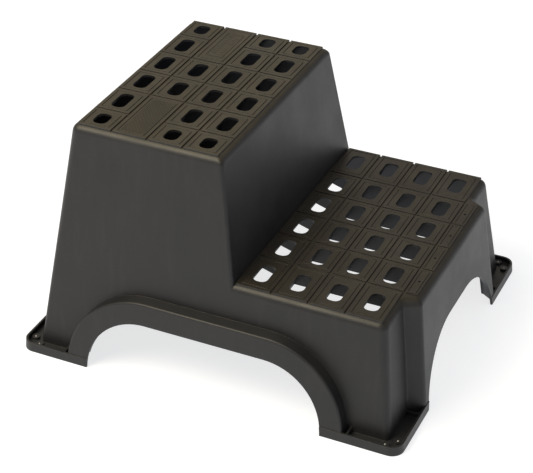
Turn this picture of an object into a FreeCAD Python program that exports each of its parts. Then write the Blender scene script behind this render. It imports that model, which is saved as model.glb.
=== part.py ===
import FreeCAD, Part
import os

# Two-step stool.  Millimetres, +Z up, origin on the floor below the middle of the footprint.
# -Y is the low front tread, +Y the high rear tread, X runs along the width of the treads.

doc = FreeCAD.newDocument("step_stool")
sheet = doc.addObject("Spreadsheet::Sheet", "dimensions")

# Driving dimensions: alias, value, meaning.
DRIVING = [
    ("overall_width", 573.0, "outside of the foot rims along X"),
    ("overall_depth", 666.0, "outside of the foot rims along Y"),
    ("upper_level", 400.0, "walking surface of the upper tread"),
    ("lower_level", 200.0, "walking surface of the lower tread"),
    ("draft_slope", 0.1495, "inward lean of the side walls and the riser per unit of height"),
    ("end_slope", 0.1275, "the same for the front and rear walls"),
    ("ledge", 22.0, "how far rims and bands stand out from the side walls"),
    ("end_ledge", 24.5, "how far rims, band and pilaster stand out from the end walls"),
    ("wall", 3.5, "thickness of walls, bands and rims"),
    ("deck", 4.0, "thickness of the treads"),
    ("riser_foot", 61.4, "distance of the riser plane from the middle at floor level"),
    ("shell_lift", 0.2, "gap between the rims and the floor, the stool stands on its feet"),
    ("corner_foot_radius", 14.0, "upright corners of the walls at floor level"),
    ("corner_taper", 0.0205, "how much those corners tighten per unit of height"),
    ("inner_corner_radius", 10.0, "the same corners on the inside"),
    ("riser_radius", 6.0, "upright corners beside the riser"),
    ("edge_radius", 14.0, "edges between walls and treads"),
    ("rear_edge_radius", 15.0, "rear edge of the upper tread"),
    ("inner_edge_radius", 11.0, "the same edges on the inside of the shell"),
    ("side_margin", 6.0, "strip kept free of pads along the sides of the treads"),
    ("rear_margin", 9.4, "the same along the rear edge of the upper tread"),
    ("front_margin", 10.2, "the same along the front edge of the lower tread"),
    ("pilaster_root_half", 185.5, "half width of the front pilaster at its root, at floor level"),
    ("pilaster_face_half", 171.5, "half width of its front face, at floor level"),
    ("pilaster_slope", 0.108, "inward lean of the pilaster's sides"),
    ("pilaster_radius", 9.0, "upright corners of the pilaster's front face"),
    ("pilaster_root_radius", 5.0, "rounding between the pilaster and the wall behind it"),
    ("band_width", 37.0, "height of the raised band over an arch"),
    ("band_radius", 3.5, "outer edge of the raised bands"),
    ("side_arch_middle", 4.2, "Y of the middle of the side arches"),
    ("side_arch_flat", 103.2, "half length of the level top of a side arch"),
    ("side_arch_radius", 102.0, "corner radius of a side arch"),
    ("side_arch_top", 103.0, "height of a side arch"),
    ("end_arch_flat", 37.5, "half length of the level top of the front and rear arches"),
    ("end_arch_radius", 120.0, "corner radius of the front and rear arches"),
    ("end_arch_top", 107.5, "height of the front and rear arches"),
    ("lip_depth", 7.5, "depth of the stiffening lip round each arch"),
    ("lip_start", 26.0, "height above the floor at which the lips begin"),
    ("rim_top", 16.0, "top of the foot rims"),
    ("rim_slope", 0.07, "inward lean of the rims"),
    ("rim_radius", 21.0, "corner radius of the foot rims"),
    ("tray_floor", 7.0, "top of the tray floors"),
    ("tray_plate", 3.0, "thickness of the tray floors"),
    ("rib", 3.0, "thickness of ribs"),
    ("rib_depth", 37.5, "from the walking surface to the lower edge of the ribs"),
    ("rib_taper_depth", 19.0, "the same depth where the ribs meet the riser"),
    ("row_pitch", 71.0, "cell pitch along X"),
    ("column_pitch", 61.05, "cell pitch along Y"),
    ("upper_first", 36.6, "Y of the upper cell column beside the riser"),
    ("lower_first", 62.8, "distance from the middle of the lower column beside the riser"),
    ("channel", 3.6, "width of the channels between the tread pads"),
    ("pad_rise", 1.8, "height of the tread pads above the channels"),
    ("pad_root", 2.1, "depth to which a pad continues below the channels, into the rounded edges"),
    ("line_inset", 5.5, "distance of the engraved line from the edge of its pad"),
    ("line_width", 1.6, "width of the engraved line"),
    ("line_depth", 0.9, "depth of the engraved line"),
    ("slot_length", 46.0, "drain slot along X"),
    ("short_slot_length", 32.0, "drain slot in the outer rows of the upper tread"),
    ("slot_width", 24.0, "drain slot along Y"),
    ("slot_radius", 10.0, "corner radius of a drain slot"),
    ("boss_diameter", 13.0, "screw boss in a tray"),
    ("boss_top", 11.0, "top of a screw boss"),
    ("screw_hole", 4.2, "hole through a screw boss"),
    ("screw_diameter", 4.0, "shank of a foot screw"),
    ("screw_head", 7.6, "head of a foot screw"),
    ("screw_seat", 1.2, "height of the screw heads above the floor"),
    ("screw_head_height", 1.4, "height of a screw head"),
    ("screw_recess", 8.2, "recess for a screw head in a foot"),
    ("tray_rib_gap", 6.5, "distance of the tray ribs from the arch bands"),
    ("foot_end_gap", 12.0, "distance of the ends of a foot from the arch bands"),
    ("dot_diameter", 4.0, "blind hole in the narrow front pads"),
    ("gate_diameter", 7.0, "mark of the injection gate"),
    ("foot_gap", 0.3, "clearance round the rubber feet"),
    ("boss_far", 273.7, "X of the bosses beside the side walls"),
    ("boss_far_along", 304.5, "Y of the bosses beside the side walls"),
    ("boss_end", 258.5, "X of the bosses beside the end walls"),
    ("boss_end_along", 320.0, "Y of the bosses beside the end walls"),
]

for line, (alias, value, meaning) in enumerate(DRIVING, start=1):
    sheet.set(f"A{line}", alias)
    sheet.set(f"B{line}", str(value))
    sheet.set(f"C{line}", meaning)
    sheet.setAlias(f"B{line}", alias)
doc.recompute()


def dim(alias):
    """Value of a driving dimension."""
    return float(sheet.get(alias))


def bind(obj, **expressions):
    """Bind properties of an object to expressions in the sheet's aliases, written bare."""
    for prop, expression in expressions.items():
        words = []
        for word in expression.split():
            words.append(f"dimensions.{word}" if word[0].isalpha() else word)
        obj.setExpression(prop.replace("__", "."), " ".join(words))
    return obj


def box(name, x, y, z):
    """Box between two expressions along each axis."""
    obj = doc.addObject("Part::Box", name)
    for axis, size, (low, high) in (("x", "Length", x), ("y", "Width", y), ("z", "Height", z)):
        bind(obj, **{f"Placement__Base__{axis}": low, size: f"( {high} ) - ( {low} )"})
    return obj


WALL_SLOPES = ("draft_slope", "end_slope", "end_slope")


def drafted_block(name, half_width, front, rear, top, slopes=WALL_SLOPES, bottom="shell_lift"):
    """Block whose sides lean inward; the sizes given are those at floor level.

    slopes are those of the two sides, the front and the rear.
    """
    obj = doc.addObject("Part::Wedge", name)
    obj.Placement.Rotation = FreeCAD.Rotation(FreeCAD.Vector(1, 0, 0), 90)
    for level, x_low, x_high, z_low, z_high in (
        (bottom, "Xmin", "Xmax", "Zmin", "Zmax"),
        (top, "X2min", "X2max", "Z2min", "Z2max"),
    ):
        side, front_lean, rear_lean = (f"( {level} ) * {slope}" for slope in slopes)
        bind(obj, **{x_low: f"{side} - ( {half_width} )", x_high: f"( {half_width} ) - {side}"})
        bind(obj, **{z_low: f"{rear_lean} - ( {rear} )", z_high: f"0 - ( {front} ) - {front_lean}"})
    bind(obj, Ymin=bottom, Ymax=top)
    return obj


def fuse(name, parts):
    obj = doc.addObject("Part::MultiFuse", name)
    obj.Shapes = parts
    return obj


def cut(name, base, tool):
    obj = doc.addObject("Part::Cut", name)
    obj.Base = base
    obj.Tool = tool
    return obj


def common(name, parts):
    obj = doc.addObject("Part::MultiCommon", name)
    obj.Shapes = parts
    return obj


def rounded(name, base, choices):
    """Fillet the edges of base.

    choices are pairs of a test on an edge and a radius, or a function from height to radius.
    """
    doc.recompute()
    picked = []
    for number, edge in enumerate(base.Shape.Edges, start=1):
        for test, radius in choices:
            if test(edge):
                ends = [radius(v.Z) if callable(radius) else radius for v in edge.Vertexes]
                picked.append((number, ends[0], ends[-1]))
                break
    obj = doc.addObject("Part::Fillet", name)
    obj.Base = base
    obj.Edges = picked
    return obj


def middle(edge):
    return edge.CenterOfMass


def is_upright(edge):
    """True for an edge that runs mostly upwards."""
    box_of = edge.BoundBox
    return box_of.ZLength > 3 * max(box_of.XLength, box_of.YLength) and box_of.ZLength > 8


def is_level_at(edge, height):
    return edge.BoundBox.ZLength < 0.01 and abs(middle(edge).z - height) < 0.01


def corner_radius(height):
    """Radius of the walls' upright corners, which tighten upwards."""
    return dim("corner_foot_radius") - dim("corner_taper") * height


# ---- arches ---------------------------------------------------------------------------------------

def arch_prism(name, along, arch, grow="0", reach="overall_depth", lift="0"):
    """Solid below an arch: a level top between two quarter rounds, reaching along X or Y.

    grow widens the arch outline on all sides; lift is the height the prism starts from.
    """
    flat = f"{arch}_flat"
    radius = f"{arch}_radius + {grow}"
    centre_height = f"{arch}_top - {arch}_radius"
    centre_y = f"{arch}_middle" if along == "X" else "0"
    pieces = []
    for number, side in enumerate(("-1", "1")):
        cylinder = doc.addObject("Part::Cylinder", f"{name}_round_{number}")
        bind(cylinder, Radius=radius, Height=f"2 * {reach}", Placement__Base__z=centre_height)
        if along == "X":
            cylinder.Placement.Rotation = FreeCAD.Rotation(FreeCAD.Vector(0, 1, 0), 90)
            bind(cylinder, Placement__Base__x=f"0 - {reach}",
                 Placement__Base__y=f"{centre_y} + {side} * {flat}")
        else:
            cylinder.Placement.Rotation = FreeCAD.Rotation(FreeCAD.Vector(1, 0, 0), -90)
            bind(cylinder, Placement__Base__y=f"0 - {reach}",
                 Placement__Base__x=f"{side} * {flat}")
        pieces.append(cylinder)
    span = (f"{centre_y} - {flat}", f"{centre_y} + {flat}")
    across = (f"0 - {reach}", reach)
    height = ("0 - 50", f"{arch}_top + {grow}")
    ranges = (across, span) if along == "X" else (span, across)
    pieces.append(box(f"{name}_flat", *ranges, height))
    whole = fuse(f"{name}_whole", pieces)
    everything = (f"0 - {reach}", reach)
    above = box(f"{name}_above", everything, everything, (lift, "upper_level"))
    return common(name, [whole, above])


side_arch = arch_prism("side_arch", "X", "side_arch", lift="0 - 1")
end_arch = arch_prism("end_arch", "Y", "end_arch", lift="0 - 1")

# ---- outer form -----------------------------------------------------------------------------------

WIDE = "overall_width / 2"
DEEP = "overall_depth / 2"
BODY_X = f"{WIDE} - ledge"
BODY_Y = f"{DEEP} - end_ledge"
UPPER_TOP = "upper_level - pad_rise"
LOWER_TOP = "lower_level - pad_rise"
BEHIND_RISER = "50"
UPPER_SLOPES = ("draft_slope", "draft_slope", "end_slope")

upper_top = dim("upper_level") - dim("pad_rise")
lower_top = dim("lower_level") - dim("pad_rise")

upper_block = rounded(
    "upper_block_rounded",
    drafted_block("upper_block", BODY_X, "0 - riser_foot", BODY_Y, UPPER_TOP, UPPER_SLOPES),
    [
        (lambda e: is_upright(e) and middle(e).y > 100, corner_radius),
        (is_upright, dim("riser_radius")),
        (lambda e: is_level_at(e, upper_top) and middle(e).y > 200, dim("rear_edge_radius")),
        (lambda e: is_level_at(e, upper_top), dim("edge_radius")),
    ],
)


def pilaster_form(name, inset, bottom, top):
    """Front pilaster: a trapezoid in plan that leans inward, inset on its three free sides."""
    outlines = []
    for height in (bottom, top):
        lean = dim("end_slope") * height
        root_y = lean + dim("end_ledge") - dim("overall_depth") / 2
        face_y = lean + inset - dim("overall_depth") / 2
        root, face = (dim(half) - 1.15 * inset - dim("pilaster_slope") * height
                      for half in ("pilaster_root_half", "pilaster_face_half"))
        half_outline = [(face, face_y), (root, root_y), (root, -150)]
        outline = half_outline + [(-x, y) for x, y in reversed(half_outline)]
        points = [FreeCAD.Vector(x, y, height) for x, y in outline]
        outlines.append(Part.makePolygon(points + points[:1]))
    obj = doc.addObject("Part::Feature", name)
    obj.Shape = Part.makeLoft(outlines, True, True)
    return obj


def is_pilaster_root(edge):
    """True for the concave upright edges between the pilaster and the wall."""
    root = dim("pilaster_root_half") - dim("pilaster_slope") * middle(edge).z
    return is_upright(edge) and abs(abs(middle(edge).x) - root) < 0.5 and middle(edge).y < -200


lower_blank = fuse("lower_blank", [
    drafted_block("lower_block", BODY_X, f"0 - ( {BODY_Y} )", BEHIND_RISER, LOWER_TOP),
    pilaster_form("pilaster", 0, dim("shell_lift"), lower_top),
])
lower_block = rounded("lower_block_rounded", lower_blank, [
    (is_pilaster_root, dim("pilaster_root_radius")),
    (lambda e: is_upright(e) and middle(e).y < -100 and abs(middle(e).x) > 200, corner_radius),
    (lambda e: is_upright(e) and middle(e).y < -250, dim("pilaster_radius")),
    (lambda e: is_level_at(e, lower_top) and middle(e).y < 0, dim("edge_radius")),
])


def on_side_face(edge):
    """True for an edge that lies on one of the drafted outer faces at the ends of X."""
    ends = [abs(v.X) + dim("draft_slope") * v.Z - dim("overall_width") / 2 for v in edge.Vertexes]
    return max(abs(end) for end in ends) < 0.1 and edge.BoundBox.XLength < 60


def on_rear_face(edge):
    """True for an edge that lies on the drafted outer face at the rear."""
    ends = [v.Y + dim("end_slope") * v.Z - dim("overall_depth") / 2 for v in edge.Vertexes]
    return max(abs(end) for end in ends) < 0.1


def raised_band(name, along, arch, limits, on_face):
    """Band that stands out from the walls and follows an arch, with a rounded outer edge."""
    prism = arch_prism(f"{name}_outline", along, arch, grow="band_width", lift="shell_lift")
    square = common(f"{name}_square", [prism, drafted_block(f"{name}_limits", *limits, LOWER_TOP)])
    above_foot = dim("shell_lift") + 0.5
    return rounded(f"{name}_band", square, [
        (lambda e: on_face(e) and middle(e).z > above_foot, dim("band_radius")),
    ])


side_bands = raised_band("side", "X", "side_arch", (WIDE, "0 - 290", "290"), on_side_face)
rear_band = raised_band("rear", "Y", "end_arch", ("240", "0", DEEP), on_rear_face)

# ---- foot trays -----------------------------------------------------------------------------------


def rim_block(name, inset, bottom, top):
    """Block that follows the foot rims, inset from their outside, with rounded upright corners."""
    block = drafted_block(name, f"{WIDE} - {inset}", f"{inset} - {DEEP}", f"{DEEP} - {inset}", top,
                          slopes=["rim_slope"] * 3, bottom=bottom)
    doc.recompute()
    radius = dim("rim_radius") - (dim(inset) if inset[0].isalpha() else 0)
    return rounded(f"{name}_rounded", block, [
        (lambda e: e.BoundBox.ZLength > 1, radius),
    ])


rim_outside = rim_block("rim_outside", "0", "shell_lift", "rim_top")
tray_space = rim_block("tray_space", "wall", "tray_floor", "rim_top + 4")
sole_space = rim_block("sole_space", "wall", "0 - 4", "tray_floor - tray_plate")
trays = cut("trays", cut("trays_open_above", rim_outside, tray_space), sole_space)

SIDES = (("left", "-1"), ("right", "1"))
ENDS = (("front", "-1"), ("rear", "1"))
corners = [(end, side, end_sign, side_sign) for end, end_sign in ENDS for side, side_sign in SIDES]

boss_places = {}
for end, side, end_sign, side_sign in corners:
    boss_places[f"{end}_{side}_a"] = (f"{side_sign} * boss_far", f"{end_sign} * boss_far_along")
    boss_places[f"{end}_{side}_b"] = (f"{side_sign} * boss_end", f"{end_sign} * boss_end_along")


def upright_cylinder(name, place, diameter, bottom, top):
    cylinder = doc.addObject("Part::Cylinder", name)
    bind(cylinder, Radius=f"{diameter} / 2", Height=f"{top} - ( {bottom} )",
         Placement__Base__x=place[0], Placement__Base__y=place[1], Placement__Base__z=bottom)
    return cylinder


bosses = []
for name, place in boss_places.items():
    bosses.append(upright_cylinder(f"boss_{name}", place, "boss_diameter",
                                   "tray_floor - tray_plate", "boss_top"))

# Short upright ribs close each tray just short of the arch bands and the pilaster.
RIB_HEIGHTS = ("tray_floor - tray_plate", "rim_top - 1")
SIDE_BAND_END = "side_arch_flat + side_arch_radius + band_width"
PAST_BANDS = f"{SIDE_BAND_END} + tray_rib_gap"
PAST_PILASTER = "pilaster_root_half + 0.6 * tray_rib_gap"
tray_ribs = []
for end, sign in ENDS:
    place = f"side_arch_middle + {sign} * ( {PAST_BANDS} )"
    tray_ribs.append(box(f"tray_rib_{end}", (f"wall / 2 - {WIDE}", f"{WIDE} - wall / 2"),
                         (f"{place} - rib / 2", f"{place} + rib / 2"), RIB_HEIGHTS))
for side, sign in SIDES:
    place = f"{sign} * ( {PAST_PILASTER} )"
    tray_ribs.append(box(f"tray_rib_{side}", (f"{place} - rib / 2", f"{place} + rib / 2"),
                         (f"wall / 2 - {DEEP}", f"{DEEP} - wall / 2"), RIB_HEIGHTS))

outer_form = fuse("outer_form", [upper_block, lower_block, side_bands, rear_band, trays]
                  + bosses + tray_ribs)

# ---- hollow inside --------------------------------------------------------------------------------

UNDER = "0 - 4"
upper_ceiling = "upper_level - deck"
lower_ceiling = "lower_level - deck"
inner_corner = dim("inner_corner_radius")
inner_edge = dim("inner_edge_radius")
upper_inside = dim("upper_level") - dim("deck")
lower_inside = dim("lower_level") - dim("deck")

upper_hollow = rounded(
    "upper_hollow_rounded",
    drafted_block("upper_hollow", f"{BODY_X} - wall", "wall - riser_foot", f"{BODY_Y} - wall",
                  upper_ceiling, UPPER_SLOPES, bottom=UNDER),
    [
        (lambda e: is_upright(e) and middle(e).y > 100, inner_corner),
        (lambda e: is_level_at(e, upper_inside), inner_edge),
    ],
)
lower_hollow = rounded(
    "lower_hollow_rounded",
    drafted_block("lower_hollow", f"{BODY_X} - wall", f"wall - ( {BODY_Y} )", BEHIND_RISER,
                  lower_ceiling, bottom=UNDER),
    [
        (lambda e: is_upright(e) and middle(e).y < -100, inner_corner),
        (lambda e: is_level_at(e, lower_inside) and middle(e).y < 0, inner_edge),
    ],
)
pilaster_hollow = rounded(
    "pilaster_hollow_rounded",
    pilaster_form("pilaster_hollow", dim("wall"), -4, lower_inside),
    [(lambda e: is_level_at(e, lower_inside) and middle(e).y < -200, inner_edge)],
)


def band_hollow(name, along, arch, limits):
    prism = arch_prism(f"{name}_hollow_outline", along, arch, grow="band_width - wall", lift=UNDER)
    return common(f"{name}_hollow", [prism, drafted_block(f"{name}_hollow_limits", *limits, LOWER_TOP,
                                                          bottom=UNDER)])


side_hollow = band_hollow("side", "X", "side_arch", (f"{WIDE} - wall", "0 - 290", "290"))
rear_hollow = band_hollow("rear", "Y", "end_arch", ("240", "0", f"{DEEP} - wall"))
inside = fuse("inside", [upper_hollow, lower_hollow, pilaster_hollow, side_hollow, rear_hollow])
walls = cut("walls", outer_form, inside)

# ---- stiffening lips round the arches -------------------------------------------------------------


def arch_lips(name, along, arch, outer_limits, inner_limits):
    """Lip of wall thickness round an arch, reaching inward from the outer faces."""
    tube = arch_prism(f"{name}_lip_outline", along, arch, grow="wall", lift="lip_start")
    outer = drafted_block(f"{name}_lip_outer", *outer_limits, LOWER_TOP)
    inner = drafted_block(f"{name}_lip_inner", *inner_limits, LOWER_TOP)
    return common(f"{name}_lips", [tube, cut(f"{name}_lip_limits", outer, inner)])


side_lips = arch_lips("side", "X", "side_arch", (WIDE, "0 - 290", "290"),
                      (f"{WIDE} - lip_depth", "0 - 300", "300"))
end_lips = arch_lips("end", "Y", "end_arch", ("pilaster_face_half - 1", f"0 - {DEEP}", DEEP),
                     ("pilaster_face_half + 60", f"lip_depth - {DEEP}", f"{DEEP} - lip_depth"))

# ---- rib grid below the treads --------------------------------------------------------------------

ROW_LINES = ("-2", "-1", "0", "1", "2")
EMBED = "1"


def rib_grid(name, limit, column_lines, y_span, level):
    """Crossed ribs on the cell boundaries of one tread, hanging below it."""
    heights = (f"{level} - rib_depth", f"{level} - deck + {EMBED}")
    across = ("0 - 260", "260")
    ribs = []
    for number, row_line in enumerate(ROW_LINES):
        place = f"{row_line} * row_pitch"
        ribs.append(box(f"{name}_row_rib_{number}", (f"{place} - rib / 2", f"{place} + rib / 2"),
                        y_span, heights))
    for number, place in enumerate(column_lines):
        ribs.append(box(f"{name}_column_rib_{number}", across,
                        (f"{place} - rib / 2", f"{place} + rib / 2"), heights))
    return common(f"{name}_ribs", [fuse(f"{name}_rib_boxes", ribs), limit])


upper_ribs = rib_grid(
    "upper", upper_block,
    [f"upper_first + {number} * column_pitch" for number in ("0.5", "1.5", "2.5")],
    ("0 - 30", BODY_Y), "upper_level",
)
lower_ribs_full = rib_grid(
    "lower", lower_block,
    [f"0 - lower_first - {number} * column_pitch" for number in ("0.5", "1.5", "2.5", "3.5")],
    (f"0 - {DEEP}", "draft_slope * lower_level - riser_foot + wall"), "lower_level",
)
# The lower edge of the ribs rises towards the riser.
rib_taper = doc.addObject("Part::Wedge", "rib_taper")
bind(rib_taper, Xmin="0 - 262", Xmax="262", X2min="0 - 262", X2max="262", Zmin="100", Z2min="100",
     Ymin="0 - lower_first - 0.5 * column_pitch + rib",
     Ymax="0 - riser_foot + lower_level * draft_slope + 4",
     Zmax="lower_level - rib_depth - 1", Z2max="lower_level - rib_taper_depth")
lower_ribs = cut("lower_ribs_tapered", lower_ribs_full, rib_taper)

# ---- tread cells ----------------------------------------------------------------------------------


def row_edges(half_flat):
    """X of the six cell rows' boundaries, from one side of a tread to the other."""
    inner = [k * dim("row_pitch") for k in (-2, -1, 0, 1, 2)]
    return [-half_flat] + inner + [half_flat]


def cell(rows, first_row, last_row, y_low, y_high, **features):
    """One pad: its box in X and Y, inset by half a channel where it meets another pad."""
    half = dim("channel") / 2
    x_low = rows[first_row] + (0 if first_row == 0 else half)
    x_high = rows[last_row + 1] - (0 if last_row == len(rows) - 2 else half)
    return dict(features, x=(x_low, x_high), y=(y_low, y_high))


def tread_cells(level, half_flat, column_centres, y_limits, slot_outer, merged_column=None):
    """All full-depth pads of a tread; a merged column has two long pads without slots."""
    rows = row_edges(half_flat)
    half_pitch = dim("column_pitch") / 2 - dim("channel") / 2
    cells = []
    for column, centre in enumerate(column_centres):
        y_low = max(centre - half_pitch, y_limits[0])
        y_high = min(centre + half_pitch, y_limits[1])
        spans = [(row, row) for row in range(6)]
        if column == merged_column:
            spans = [(0, 1), (2, 2), (3, 3), (4, 5)]
        for first_row, last_row in spans:
            slot = None
            if first_row == last_row:
                slot = slot_outer if first_row in (0, 5) else dim("slot_length")
            cells.append(cell(rows, first_row, last_row, y_low, y_high,
                              slot=slot, level=level, y_slot=centre))
    return cells


top_lean = dim("draft_slope") * upper_top
step_lean = dim("draft_slope") * lower_top
body_half = dim("overall_width") / 2 - dim("ledge")
body_deep = dim("overall_depth") / 2 - dim("end_ledge")
upper_rear = body_deep - dim("end_slope") * upper_top - dim("rear_margin")
lower_front = dim("end_slope") * lower_top + dim("side_margin") - body_deep
upper_flat = body_half - top_lean - dim("side_margin")
lower_flat = body_half - step_lean - dim("side_margin")
upper_columns = [dim("upper_first") + k * dim("column_pitch") for k in range(4)]
lower_columns = [-dim("lower_first") - k * dim("column_pitch") for k in range(4)]

cells = tread_cells(dim("upper_level"), upper_flat, upper_columns,
                    (-1000, upper_rear),
                    dim("short_slot_length"), merged_column=2)
cells += tread_cells(dim("lower_level"), lower_flat, lower_columns,
                     (lower_front, 1000), dim("slot_length"))

# Four narrow pads cover the top of the pilaster, each with a small blind hole.
narrow_rear = lower_columns[-1] - dim("column_pitch") / 2 - dim("channel") / 2
narrow_front = dim("end_slope") * lower_top + dim("front_margin") - dim("overall_depth") / 2
lower_rows = row_edges(lower_flat)
for row in (1, 2, 3, 4):
    cells.append(cell(lower_rows, row, row, narrow_front, narrow_rear, slot=None, dot=True,
                      level=dim("lower_level"), y_slot=(narrow_front + narrow_rear) / 2))


def slab(x, y, bottom, top):
    return Part.makeBox(x[1] - x[0], y[1] - y[0], top - bottom, FreeCAD.Vector(x[0], y[0], bottom))


def frame_cutter(x, y, inset, width, bottom, top):
    """Rectangular ring that engraves one line inside a pad."""
    outer = slab((x[0] + inset, x[1] - inset), (y[0] + inset, y[1] - inset), bottom, top)
    step = inset + width
    return outer.cut(slab((x[0] + step, x[1] - step), (y[0] + step, y[1] - step), bottom, top))


def slot_cutter(length, centre, level):
    """Drain slot: a box with rounded upright edges."""
    half = dim("slot_width") / 2
    block = slab((centre[0] - length / 2, centre[0] + length / 2), (centre[1] - half, centre[1] + half),
                 level - dim("deck") - 2, level + 1)
    upright = [e for e in block.Edges if e.BoundBox.ZLength > 1]
    return block.makeFillet(dim("slot_radius"), upright)


pad_shapes = []
groove_shapes = []
hole_shapes = []
for item in cells:
    level = item["level"]
    pad_shapes.append(slab(item["x"], item["y"], level - dim("pad_rise") - dim("pad_root"), level))
    inset = dim("line_inset") * (0.45 if item.get("dot") else 1)
    groove_shapes.append(frame_cutter(item["x"], item["y"], inset, dim("line_width"),
                                      level - dim("line_depth"), level + 1))
    centre = (sum(item["x"]) / 2, item["y_slot"])
    if item["slot"]:
        hole_shapes.append(slot_cutter(item["slot"], centre, level))
    if item.get("dot"):
        hole_shapes.append(Part.makeCylinder(dim("dot_diameter") / 2, 4,
                                             FreeCAD.Vector(*centre, level - 2.5)))


def shape_feature(name, shapes):
    obj = doc.addObject("Part::Feature", name)
    obj.Shape = Part.makeCompound(shapes)
    return obj


pads = shape_feature("pads", pad_shapes)
grooves = shape_feature("grooves", groove_shapes)
holes = shape_feature("holes", hole_shapes)

# The gate mark bridges the channel between the two middle rows, beside the riser.
gate_mark = upright_cylinder("gate_mark", ("0", "upper_first"), "gate_diameter", f"{UPPER_TOP} - 1",
                             "upper_level - 0.4")

screw_holes = []
for name, place in boss_places.items():
    screw_holes.append(upright_cylinder(f"screw_hole_{name}", place, "screw_hole", "0", "boss_top + 2"))

raw_shell = fuse("raw_shell", [walls, side_lips, end_lips, upper_ribs, lower_ribs, pads, gate_mark])
openings = fuse("openings", [side_arch, end_arch] + screw_holes)
shell = cut("stool_shell", cut("shell_with_arches", raw_shell, openings),
            fuse("surface_cutters", [holes, grooves]))
shell.Label = "stool_shell"

# ---- rubber feet and their screws -----------------------------------------------------------------


def span(sign, near, far):
    """Range between two distances from the middle, on the side given by sign."""
    return (near, far) if sign == "1" else (f"0 - ( {far} )", f"0 - ( {near} )")


SOLE_TOP = "tray_floor - tray_plate"
OUTER_X = f"{WIDE} - wall - foot_gap"
OUTER_Y = f"{DEEP} - wall - foot_gap"
INNER_X = f"{WIDE} - ledge + foot_gap"
INNER_Y = f"{DEEP} - ledge + foot_gap"
subparts = [shell]
for end, side, end_sign, side_sign in corners:
    name = f"foot_{end}_{side}"
    side_arm = box(f"{name}_side_arm", span(side_sign, INNER_X, OUTER_X),
                   span(end_sign, f"{SIDE_BAND_END} + foot_end_gap", OUTER_Y), ("0", SOLE_TOP))
    end_arm = box(f"{name}_end_arm", span(side_sign, f"{PAST_PILASTER} + foot_end_gap", OUTER_X),
                  span(end_sign, INNER_Y, OUTER_Y), ("0", SOLE_TOP))
    sole = fuse(f"{name}_arms", [side_arm, end_arm])
    far_corner = (float(side_sign) * 270, float(end_sign) * 318)
    outer_radius = dim("rim_radius") - dim("wall") - dim("foot_gap")
    sole = rounded(f"{name}_sole", sole, [
        (lambda e: e.BoundBox.ZLength > 1 and middle(e).x * far_corner[0] > far_corner[0] ** 2
         and middle(e).y * far_corner[1] > far_corner[1] ** 2, outer_radius),
    ])
    recesses = []
    for letter in ("a", "b"):
        place = boss_places[f"{end}_{side}_{letter}"]
        recesses.append(upright_cylinder(f"{name}_recess_{letter}", place, "screw_recess",
                                         "0 - 1", "screw_seat + screw_head_height"))
        recesses.append(upright_cylinder(f"{name}_hole_{letter}", place, "screw_hole", "0", "tray_floor"))
    foot = cut(name, sole, fuse(f"{name}_recesses", recesses))
    foot.Label = name
    subparts.append(foot)

for corner, place in boss_places.items():
    name = f"screw_{corner}"
    head = upright_cylinder(f"{name}_head", place, "screw_head", "screw_seat",
                            "screw_seat + screw_head_height")
    shank = upright_cylinder(f"{name}_shank", place, "screw_diameter", "screw_seat", "boss_top - 1")
    tip = doc.addObject("Part::Cone", f"{name}_tip")
    bind(tip, Radius1="screw_diameter / 2", Radius2="0.3", Height="1.8", Placement__Base__x=place[0],
         Placement__Base__y=place[1], Placement__Base__z="boss_top - 1")
    slots = []
    for letter, size_x, size_y in (("x", "4.4", "0.9"), ("y", "0.9", "4.4")):
        slots.append(box(f"{name}_drive_{letter}",
                         (f"{place[0]} - {size_x} / 2", f"{place[0]} + {size_x} / 2"),
                         (f"{place[1]} - {size_y} / 2", f"{place[1]} + {size_y} / 2"),
                         ("0", "screw_seat + 0.9")))
    screw = cut(name, fuse(f"{name}_blank", [head, shank, tip]), fuse(f"{name}_drive", slots))
    screw.Label = name
    subparts.append(screw)

# ---- check and write ------------------------------------------------------------------------------

doc.recompute()
for obj in doc.Objects:
    if "Invalid" in obj.State or "Error" in obj.State:
        raise RuntimeError(f"{obj.Name} failed: {obj.State}")
for obj in subparts:
    if obj.Shape.isNull() or not obj.Shape.isValid() or len(obj.Shape.Solids) != 1:
        raise RuntimeError(f"{obj.Label}: not one valid solid")

os.makedirs("parts", exist_ok=True)
for obj in subparts:
    obj.Shape.exportStep(f"parts/{obj.Label}.step")
    print(obj.Label, round(obj.Shape.Volume / 1000, 2), "cm3")
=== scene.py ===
import math

import bmesh
import bpy
from mathutils import Matrix, Vector


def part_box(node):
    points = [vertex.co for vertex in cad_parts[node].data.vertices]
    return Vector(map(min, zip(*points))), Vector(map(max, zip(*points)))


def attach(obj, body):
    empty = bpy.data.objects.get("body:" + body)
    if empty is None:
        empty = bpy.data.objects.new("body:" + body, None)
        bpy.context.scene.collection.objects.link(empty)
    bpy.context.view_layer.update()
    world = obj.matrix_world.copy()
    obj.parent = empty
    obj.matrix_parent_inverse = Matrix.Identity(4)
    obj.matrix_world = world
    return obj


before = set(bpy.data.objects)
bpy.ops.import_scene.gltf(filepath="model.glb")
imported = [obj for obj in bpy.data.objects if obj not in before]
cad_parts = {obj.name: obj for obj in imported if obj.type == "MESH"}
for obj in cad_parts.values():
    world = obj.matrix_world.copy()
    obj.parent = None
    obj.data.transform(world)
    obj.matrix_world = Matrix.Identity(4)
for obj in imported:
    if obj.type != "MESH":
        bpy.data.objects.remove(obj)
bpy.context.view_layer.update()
scene = bpy.context.scene
scene.view_settings.view_transform = "Standard"

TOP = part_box("stool_shell")[1].z

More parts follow.
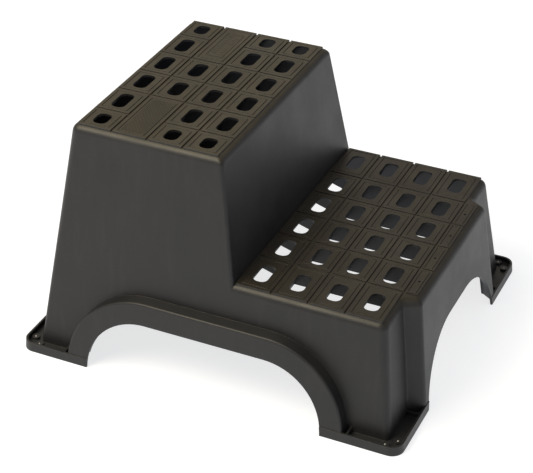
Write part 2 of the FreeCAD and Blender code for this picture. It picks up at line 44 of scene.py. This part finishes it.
# Plan of the treads, in metres: the same cell grid that the shell was designed on.
ROW_PITCH = 0.071
COLUMN_PITCH = 0.06105
UPPER_FIRST = 0.0366       # Y of the first column of the upper tread, where the gate mark is
CHANNEL = 0.0036           # channel between two pads
LINE_REACH = 0.0067        # from the edge of a pad to the field inside its engraved line
PANEL_COLUMN = UPPER_FIRST + 2 * COLUMN_PITCH
PANEL_OUTER = 0.1989       # outer end of a long pad in X
RELIEF_FOOT = 0.0003       # how far a relief block is sunk into its pad

BODY_MIDDLE = (0.0, 0.12, 0.0)
LIGHT_TARGET = (0.0, 0.0, 0.3)


# ---- node helpers --------------------------------------------------------------------------

class Shader:
    """A material with a Principled shader, and short calls that add and link nodes."""

    def __init__(self, name):
        self.material = bpy.data.materials.new(name)
        self.material.use_nodes = True
        self.tree = self.material.node_tree
        self.surface = self.tree.nodes["Principled BSDF"]
        self.place = self.add("ShaderNodeTexCoord").outputs["Object"]

    def add(self, kind, **settings):
        node = self.tree.nodes.new(kind)
        for key, value in settings.items():
            setattr(node, key, value)
        return node

    def put(self, value, socket):
        """Link an output to a socket, or set the socket to a plain value."""
        if isinstance(value, bpy.types.NodeSocket):
            self.tree.links.new(value, socket)
        else:
            socket.default_value = value

    def math(self, operation, *values):
        node = self.add("ShaderNodeMath", operation=operation)
        for value, socket in zip(values, node.inputs):
            self.put(value, socket)
        return node.outputs[0]

    def stretch(self, scale):
        """Object coordinates multiplied by a scale for each axis."""
        node = self.add("ShaderNodeMapping")
        self.put(self.place, node.inputs["Vector"])
        node.inputs["Scale"].default_value = scale
        return node.outputs["Vector"]

    def noise(self, scale, detail=2.0, roughness=0.5, at=None, distortion=0.0):
        node = self.add("ShaderNodeTexNoise")
        self.put(at or self.place, node.inputs["Vector"])
        for key, value in (("Scale", scale), ("Detail", detail), ("Roughness", roughness),
                           ("Distortion", distortion)):
            node.inputs[key].default_value = value
        return node.outputs["Fac"]

    def ramp(self, value, low, high, first=0.0, last=1.0):
        """Smooth step from first, at or below low, to last, at or above high."""
        node = self.add("ShaderNodeMapRange", interpolation_type="SMOOTHSTEP")
        for item, socket in zip((value, low, high, first, last), node.inputs):
            self.put(item, socket)
        return node.outputs[0]

    def mix(self, factor, first, second):
        """Mix of two colours; sockets 6 and 7 are the colour inputs of the Mix node."""
        node = self.add("ShaderNodeMix", data_type="RGBA")
        self.put(factor, node.inputs[0])
        self.put(first, node.inputs[6])
        self.put(second, node.inputs[7])
        return node.outputs[2]

    def bump(self, height, distance, strength=1.0, normal=None):
        node = self.add("ShaderNodeBump")
        node.inputs["Strength"].default_value = strength
        node.inputs["Distance"].default_value = distance
        self.put(height, node.inputs["Height"])
        if normal:
            self.put(normal, node.inputs["Normal"])
        return node.outputs["Normal"]

    def outward(self, geometry):
        """Above zero on faces that look away from the body's middle axis, below zero inside."""
        arm = self.add("ShaderNodeVectorMath", operation="SUBTRACT")
        self.put(self.place, arm.inputs[0])
        arm.inputs[1].default_value = BODY_MIDDLE
        flat = self.add("ShaderNodeVectorMath", operation="MULTIPLY")
        self.put(arm.outputs[0], flat.inputs[0])
        flat.inputs[1].default_value = (1.0, 1.0, 0.0)
        dot = self.add("ShaderNodeVectorMath", operation="DOT_PRODUCT")
        self.put(flat.outputs[0], dot.inputs[0])
        self.put(geometry.outputs["Normal"], dot.inputs[1])
        return dot.outputs["Value"]

    def set(self, **values):
        """Put values on sockets of the Principled shader; an underscore stands for a space."""
        for key, value in values.items():
            self.put(value, self.surface.inputs[key.replace("_", " ")])


def colour(red, green, blue):
    return (red, green, blue, 1.0)


# ---- materials -----------------------------------------------------------------------------

def moulded_plastic():
    """Satin moulded plastic: fine grain, slow waves, flow streaks, paler edges, treads warmer with
    painted light from above, inside darker with painted shade.
    """
    s = Shader("moulded_plastic")
    geometry = s.add("ShaderNodeNewGeometry")
    soft = s.add("ShaderNodeBevel", samples=4)
    soft.inputs["Radius"].default_value = 0.0008
    turn = s.add("ShaderNodeVectorMath", operation="DOT_PRODUCT")
    s.put(soft.outputs[0], turn.inputs[0])
    s.put(geometry.outputs["Normal"], turn.inputs[1])
    edge = s.ramp(turn.outputs["Value"], 0.995, 0.80)

    split = s.add("ShaderNodeSeparateXYZ")
    s.put(geometry.outputs["Normal"], split.inputs[0])
    level = s.ramp(split.outputs["Z"], 0.55, 0.97)
    upright = s.math("SUBTRACT", 1.0, level)

    mottle = s.noise(11.0, detail=5.0, roughness=0.6)
    blotch = s.noise(38.0, detail=3.0)
    streak = s.noise(1.0, detail=4.0, roughness=0.65, distortion=0.4, at=s.stretch((70.0, 70.0, 3.0)))
    scuff = s.noise(1.0, detail=5.0, roughness=0.7, distortion=1.2, at=s.stretch((55.0, 210.0, 55.0)))
    grain = s.noise(1900.0)
    cells = s.noise(620.0, roughness=0.6)

    # Colour: walls first, then streaks on them, the treads with their painted light, the inside with
    # its painted shade, scuffs and pale edges.
    base = s.mix(s.ramp(mottle, 0.3, 0.7),
                 colour(0.0128, 0.0131, 0.0148), colour(0.0172, 0.0173, 0.0188))
    streaked = s.math("MULTIPLY", s.ramp(streak, 0.48, 0.74), s.math("MULTIPLY", upright, 0.24))
    base = s.mix(streaked, base, colour(0.036, 0.034, 0.032))
    height = s.add("ShaderNodeSeparateXYZ")
    s.put(s.place, height.inputs[0])
    patches = s.ramp(blotch, 0.3, 0.75)
    # Tread tops: a warm tone that is partly painted light falling from above; the upper tread is
    # painted brighter than the lower.
    low_tread_lit = s.mix(patches, colour(0.0145, 0.0118, 0.0072), colour(0.0205, 0.0165, 0.0098))
    high_tread_lit = s.mix(patches, colour(0.0235, 0.0192, 0.0108), colour(0.0330, 0.0268, 0.0145))
    lit_tread = s.mix(s.ramp(height.outputs["Z"], 0.25, 0.35), low_tread_lit, high_tread_lit)
    # Mask of the tread tops: it carries the painted light on the treads and, further down, the scuff
    # wear.
    tread_tops_light_and_wear = s.math("MULTIPLY", level, s.ramp(height.outputs["Z"], 0.14, 0.18))
    base = s.mix(tread_tops_light_and_wear, base, lit_tread)
    # Faces turned towards the middle, inside the hollow shell: a darker, bluish colour that is
    # painted shade.
    inside_shade = s.ramp(s.outward(geometry), -0.01, -0.05, 0.0, 0.8)
    base = s.mix(inside_shade, base,
                 s.mix(blotch, colour(0.0075, 0.0088, 0.0135), colour(0.0125, 0.0145, 0.0210)))
    worn = s.math("MULTIPLY", s.ramp(scuff, 0.60, 0.78), s.math("MULTIPLY", tread_tops_light_and_wear, 0.35))
    base = s.mix(worn, base, colour(0.075, 0.066, 0.050))
    paled = s.math("MULTIPLY", edge, s.ramp(mottle, 0.35, 0.65, 0.25, 0.6))
    base = s.mix(paled, base, colour(0.085, 0.078, 0.064))

    rough = s.ramp(mottle, 0.25, 0.75, 0.40, 0.50)
    dulled = s.math("MULTIPLY", s.ramp(scuff, 0.5, 0.8), s.math("MULTIPLY", level, 0.10))
    rough = s.math("ADD", rough, dulled)
    rough = s.math("ADD", rough, s.math("MULTIPLY", s.math("SUBTRACT", grain, 0.5), 0.10))

    waves = s.bump(s.noise(9.0), 0.0012, normal=soft.outputs[0])
    flow = s.bump(streak, 0.00018, strength=0.8, normal=waves)
    skin = s.math("ADD", s.math("MULTIPLY", grain, 0.45), s.math("MULTIPLY", cells, 0.55))
    texture = s.bump(skin, 0.00016, strength=0.8, normal=flow)
    s.set(Base_Color=base, Roughness=rough, Normal=texture)
    s.surface.inputs["IOR"].default_value = 1.43
    return s.material


def foot_rubber():
    """Matte black rubber with fine diagonal grip ribs and dusty spots."""
    s = Shader("foot_rubber")
    rib = s.add("ShaderNodeTexWave", wave_type="BANDS", bands_direction="DIAGONAL")
    s.put(s.place, rib.inputs["Vector"])
    rib.inputs["Scale"].default_value = 90.0
    rib.inputs["Distortion"].default_value = 0.2
    dust = s.noise(140.0, detail=5.0, roughness=0.65)
    base = s.mix(s.ramp(dust, 0.45, 0.8, 0.0, 0.7),
                 colour(0.012, 0.012, 0.012), colour(0.060, 0.056, 0.050))
    pores = s.bump(s.noise(1500.0), 0.00012, strength=0.7)
    s.set(Base_Color=base, Roughness=s.ramp(dust, 0.3, 0.8, 0.78, 0.95),
          Normal=s.bump(rib.outputs["Fac"], 0.0006, normal=pores))
    return s.material


def screw_steel():
    """Zinc-plated steel: fine turning marks, cloudy plating and a little dulling."""
    s = Shader("screw_steel")
    cloud = s.noise(420.0, detail=4.0, roughness=0.6)
    turned = s.noise(1.0, detail=3.0, at=s.stretch((300.0, 300.0, 5200.0)))
    base = s.mix(s.ramp(cloud, 0.3, 0.75), colour(0.46, 0.47, 0.48), colour(0.62, 0.60, 0.55))
    s.set(Base_Color=base, Roughness=s.ramp(cloud, 0.25, 0.8, 0.26, 0.48),
          Normal=s.bump(turned, 0.00006, strength=0.8))
    s.surface.inputs["Metallic"].default_value = 1.0
    return s.material


def pale_floor():
    """Plain pale studio floor with a faint mottle."""
    s = Shader("pale_floor")
    shade = s.noise(2.2, detail=3.0)
    base = s.mix(shade, colour(0.37, 0.39, 0.44), colour(0.40, 0.42, 0.47))
    s.set(Base_Color=base, Roughness=s.ramp(shade, 0.3, 0.7, 0.80, 0.90))
    s.surface.inputs["Emission Color"].default_value = colour(0.99, 0.995, 1.0)
    s.surface.inputs["Emission Strength"].default_value = 0.74
    return s.material


PLASTIC = moulded_plastic()
RUBBER = foot_rubber()
STEEL = screw_steel()

for name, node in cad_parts.items():
    node.data.materials.clear()
    if name.startswith("foot_"):
        node.data.materials.append(RUBBER)
    elif name.startswith("screw_"):
        node.data.materials.append(STEEL)
    else:
        node.data.materials.append(PLASTIC)


# ---- relief on the upper tread -------------------------------------------------------------

def add_block(bm, x, y, z, shrink):
    """Closed block whose top is smaller than its foot by shrink on each side."""
    rings = []
    for height, inset in ((z[0], 0.0), (z[1], shrink)):
        corners = ((x[0] + inset, y[0] + inset), (x[1] - inset, y[0] + inset),
                   (x[1] - inset, y[1] - inset), (x[0] + inset, y[1] - inset))
        rings.append([bm.verts.new((px, py, height)) for px, py in corners])
    low, high = rings
    bm.faces.new(reversed(low))
    bm.faces.new(high)
    for k in range(4):
        bm.faces.new((low[k], low[(k + 1) % 4], high[(k + 1) % 4], high[k]))


def finish_piece(bm, name):
    """Turn the mesh data into a piece of the shell's plastic that rides on the body."""
    mesh = bpy.data.meshes.new(name)
    bm.to_mesh(mesh)
    bm.free()
    mesh.materials.append(PLASTIC)
    piece = bpy.data.objects.new(name, mesh)
    scene.collection.objects.link(piece)
    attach(piece, "root")


def panel_field(side):
    """Inner field of a long pad: (x range, y range), on the side given by the sign of X."""
    near = ROW_PITCH + CHANNEL / 2 + LINE_REACH
    far = PANEL_OUTER - LINE_REACH
    half = COLUMN_PITCH / 2 - CHANNEL / 2 - LINE_REACH
    x = (near, far) if side > 0 else (-far, -near)
    return x, (PANEL_COLUMN - half, PANEL_COLUMN + half)


def brick_relief():
    """Courses of small raised bricks, staggered from row to row."""
    (x_low, x_high), (y_low, y_high) = panel_field(-1)
    margin, joint = 0.0020, 0.0011
    courses, bricks = 13, 14
    shortest = 0.002
    rise, bevel = 0.00045, 0.00035
    z = (TOP - RELIEF_FOOT, TOP + rise)
    pitch_y = (y_high - y_low - 2 * margin) / courses
    pitch_x = (x_high - x_low - 2 * margin) / bricks
    bm = bmesh.new()
    for course in range(courses):
        shift = pitch_x / 2 if course % 2 else 0.0
        y = y_low + margin + course * pitch_y
        for brick in range(-1, bricks + 1):
            x_from = max(x_low + margin, x_low + margin + brick * pitch_x + shift)
            x_to = min(x_high - margin, x_low + margin + (brick + 1) * pitch_x + shift)
            if x_to - x_from > shortest:
                add_block(bm, (x_from + joint / 2, x_to - joint / 2),
                          (y + joint / 2, y + pitch_y - joint / 2), z, bevel)
    finish_piece(bm, "brick_relief")


def bar_relief():
    """Plain raised grip bars, two staggered rows, inside a thin raised frame."""
    (x_low, x_high), (y_low, y_high) = panel_field(1)
    bm = bmesh.new()
    middle_x, middle_y = (x_low + x_high) / 2, (y_low + y_high) / 2
    rise, bevel, frame_bevel = 0.00055, 0.00045, 0.0002
    z = (TOP - RELIEF_FOOT, TOP + rise)
    bars, pitch, width, length = 9, 0.0080, 0.0030, 0.0095
    row_offset = 0.0062
    for row in (-1, 1):
        for k in range(bars):
            x = middle_x + (k - (bars - 1) / 2) * pitch + row * pitch / 4
            y = middle_y + row * row_offset
            add_block(bm, (x - width / 2, x + width / 2), (y - length / 2, y + length / 2), z, bevel)
    half_x, half_y, line = 0.0435, 0.0150, 0.0011
    for sign in (-1, 1):
        add_block(bm, (middle_x - half_x, middle_x + half_x),
                  sorted((middle_y + sign * half_y, middle_y + sign * (half_y - line))),
                  z, frame_bevel)
        add_block(bm, sorted((middle_x + sign * half_x, middle_x + sign * (half_x - line))),
                  (middle_y - half_y + line, middle_y + half_y - line), z, frame_bevel)
    finish_piece(bm, "bar_relief")


def gate_nub():
    """Small trimmed stub left on the gate mark, between the two middle rows."""
    bm = bmesh.new()
    sides = 20
    middle_rise = 0.00012
    profile = ((0.0009, 0.00016), (0.0013, 0.00008), (0.0015, -0.00040), (0.0019, -0.00062))
    rings = []
    for radius, rise in profile:
        ring = []
        for k in range(sides):
            angle = 2 * math.pi * k / sides
            wobble = 1 + 0.05 * math.sin(3 * angle) + 0.03 * math.sin(7 * angle)
            ring.append(bm.verts.new((radius * wobble * math.cos(angle),
                                      UPPER_FIRST + radius * wobble * math.sin(angle), TOP + rise)))
        rings.append(ring)
    centre = bm.verts.new((0.0, UPPER_FIRST, TOP + middle_rise))
    for k in range(sides):
        bm.faces.new((centre, rings[0][k], rings[0][(k + 1) % sides]))
    for inner, outer in zip(rings, rings[1:]):
        for k in range(sides):
            bm.faces.new((inner[k], outer[k], outer[(k + 1) % sides], inner[(k + 1) % sides]))
    bm.faces.new(list(reversed(rings[-1])))
    bmesh.ops.recalc_face_normals(bm, faces=bm.faces)
    finish_piece(bm, "gate_nub")


brick_relief()
bar_relief()
gate_nub()


# ---- floor, light and camera ---------------------------------------------------------------

def floor():
    """Large round floor, a hair below the feet so that no two faces share a plane."""
    mesh = bpy.data.meshes.new("floor")
    bm = bmesh.new()
    bmesh.ops.create_circle(bm, cap_ends=True, segments=96, radius=30.0)
    bm.to_mesh(mesh)
    bm.free()
    mesh.materials.append(pale_floor())
    piece = bpy.data.objects.new("floor", mesh)
    piece.location.z = -0.0002
    scene.collection.objects.link(piece)


def soft_light(name, place, size, power, tint):
    """Rectangular area light aimed at the middle of the object."""
    lamp = bpy.data.lights.new(name, "AREA")
    lamp.shape = "RECTANGLE"
    lamp.size, lamp.size_y = size
    lamp.energy = power
    lamp.color = tint
    piece = bpy.data.objects.new(name, lamp)
    scene.collection.objects.link(piece)
    turn = (Vector(LIGHT_TARGET) - Vector(place)).to_track_quat("-Z", "Y")
    piece.matrix_world = Matrix.Translation(place) @ turn.to_matrix().to_4x4()


def surroundings(tint, strength):
    world = bpy.data.worlds.new("studio")
    world.use_nodes = True
    back = world.node_tree.nodes["Background"]
    back.inputs["Color"].default_value = colour(*tint)
    back.inputs["Strength"].default_value = strength
    scene.world = world


def camera(azimuth, elevation, place, lens):
    """Camera that looks along the azimuth, in degrees, downwards by the elevation, without roll."""
    turn, tilt = math.radians(azimuth), math.radians(elevation)
    ahead = Vector((-math.sin(turn) * math.cos(tilt), math.cos(turn) * math.cos(tilt),
                    -math.sin(tilt)))
    right = Vector((math.cos(turn), math.sin(turn), 0.0))
    data = bpy.data.cameras.new("camera")
    data.sensor_width = 36.0
    data.lens = lens
    piece = bpy.data.objects.new("camera", data)
    scene.collection.objects.link(piece)
    axes = Matrix((right, right.cross(ahead), -ahead)).transposed().to_4x4()
    axes.translation = Vector(place)
    piece.matrix_world = axes
    scene.camera = piece


floor()
surroundings((1.0, 0.985, 0.97), 0.37)
soft_light("overhead", (-0.5, 0.9, 2.8), (2.0, 2.0), 20.0, (1.0, 0.89, 0.68))
soft_light("high_side", (-1.45, 1.05, 2.35), (1.6, 1.3), 64.0, (1.0, 0.90, 0.68))
soft_light("warm_back", (3.2, 1.6, 2.4), (3.0, 1.8), 10.0, (1.0, 0.84, 0.58))
camera(-65.21, 32.97, (-2.1087, -0.9541, 1.6427), 112.06)
